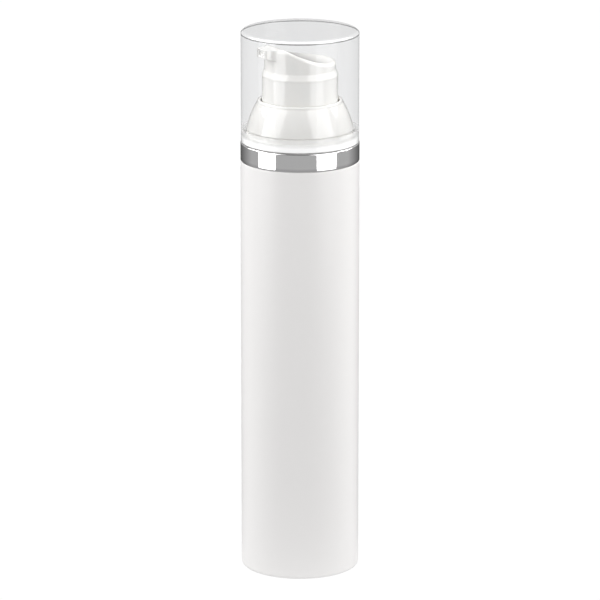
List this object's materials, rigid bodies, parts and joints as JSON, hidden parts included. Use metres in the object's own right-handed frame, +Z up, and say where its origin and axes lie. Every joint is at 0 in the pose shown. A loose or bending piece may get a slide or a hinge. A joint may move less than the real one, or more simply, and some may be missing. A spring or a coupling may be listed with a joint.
{
  "type": "airless pump bottle",
  "caption": "Slim white airless pump bottle with a clear overcap, a press-down spout head, a domed collar and a silver trim ring.",
  "frame": {"origin": "centre of the foot, on the surface that the bottle stands on", "axes": "+Z up the bottle's axis; the spout points to -Y at rest; +X to the right seen from the spout's front"},
  "size_m": [0.036, 0.036, 0.168],
  "materials": {
    "clear_cap": "clear polished",
    "white_gloss": "glossy",
    "white_body": "glossy",
    "silver_ring": "bright anodised",
    "natural_plastic": "natural",
    "soft_plastic": "natural",
    "gasket_foam": "matt",
    "spring_steel": "drawn wire"
  },
  "bodies": {
    "bottle": {"bottle_body": "white_body", "base_plug": "white_body", "trim_ring": "silver_ring", "collar_dome": "white_gloss", "snap_closure": "natural_plastic", "neck_gasket": "gasket_foam", "pump_housing": "natural_plastic", "stem_guide": "natural_plastic", "ball_cage": "natural_plastic", "return_spring": "spring_steel"},
    "cap": {"overcap": "clear_cap"},
    "stem": {"pump_stem": "natural_plastic", "stem_plug": "natural_plastic"},
    "head": {"actuator_head": "white_gloss", "actuator_core": "natural_plastic", "nozzle_insert": "white_gloss"},
    "piston": {"pump_piston": "soft_plastic"},
    "ball": {"inlet_ball": "spring_steel"},
    "follower": {"follower_piston": "soft_plastic"}
  },
  "joints": [
    {"name": "cap_lift", "type": "slide", "parent": "bottle", "child": "cap", "axis": [0, 0, 1], "range_m": [0, 0.045]},
    {"name": "actuator_press", "type": "slide", "parent": "bottle", "child": "stem", "axis": [0, 0, -1], "range_m": [0, 0.0055], "stiffness_N_per_m": 1100, "springref_m": -0.007, "deforming": ["return_spring"]},
    {"name": "head_spin", "type": "hinge", "parent": "stem", "child": "head", "pos_m": [0, 0, 0.15], "axis": [0, 0, 1], "continuous": true},
    {"name": "piston_slip", "type": "slide", "parent": "stem", "child": "piston", "axis": [0, 0, 1], "range_m": [0, 0.0008]},
    {"name": "ball_lift", "type": "slide", "parent": "bottle", "child": "ball", "axis": [0, 0, 1], "range_m": [0, 0.001]},
    {"name": "follower_rise", "type": "slide", "parent": "bottle", "child": "follower", "axis": [0, 0, 1], "range_m": [0, 0.1072]}
  ]
}
